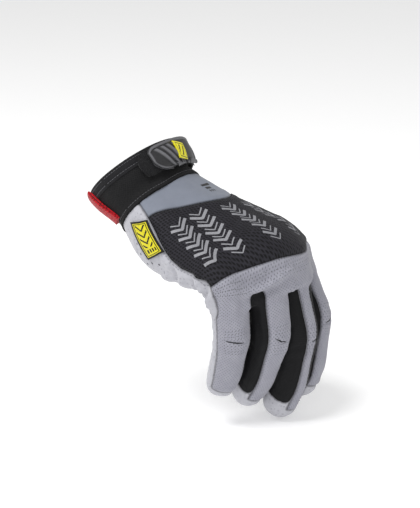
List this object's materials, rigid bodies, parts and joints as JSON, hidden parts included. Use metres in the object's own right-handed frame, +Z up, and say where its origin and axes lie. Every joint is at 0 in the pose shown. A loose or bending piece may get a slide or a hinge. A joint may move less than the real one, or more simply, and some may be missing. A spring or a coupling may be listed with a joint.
{
  "type": "mechanic glove",
  "caption": "Right-hand work glove in worn shape: stretch-knit back, suede palm, strap cuff with moulded tab; hollow open at the wrist.",
  "frame": {"origin": "centre of the cuff's mouth, where the wrist comes out", "axes": "+Z up with the glove's fingers hanging down, -Y toward the knuckles, +X toward the thumb's side"},
  "size_m": [0.1109, 0.1435, 0.1728],
  "materials": {
    "wrist_panel": "light grey stretch knit",
    "back_panel": "dark ribbed stretch knit with grey print",
    "finger_back_panel": "light grey stretch knit, padded over the knuckles",
    "sidewall_pinky_ring": "black stretch mesh",
    "sidewall_ring_middle": "black stretch mesh",
    "sidewall_middle_index": "black stretch mesh",
    "palm_panel": "light grey synthetic suede",
    "thumb": "light grey synthetic suede",
    "cuff": "black neoprene with a knit face",
    "cuff_hem": "charcoal knit binding",
    "loop_patch": "black brushed loop pile",
    "closure_strap": "black woven strap with hooks under it",
    "closure_tab": "matt charcoal moulded rubber",
    "tab_badge": "pale yellow moulded print",
    "side_label": "pale yellow woven label with a dark edge",
    "pull_loop": "red woven webbing"
  },
  "bodies": {
    "root": {"wrist_panel": "wrist_panel", "back_panel": "back_panel", "finger_back_panel": "finger_back_panel", "sidewall_pinky_ring": "sidewall_pinky_ring", "sidewall_ring_middle": "sidewall_ring_middle", "sidewall_middle_index": "sidewall_middle_index", "palm_panel": "palm_panel", "thumb": "thumb", "cuff": "cuff", "cuff_hem": "cuff_hem", "loop_patch": "loop_patch", "closure_strap": "closure_strap", "closure_tab": "closure_tab", "tab_badge": "tab_badge", "side_label": "side_label", "pull_loop": "pull_loop"}
  },
  "joints": []
}
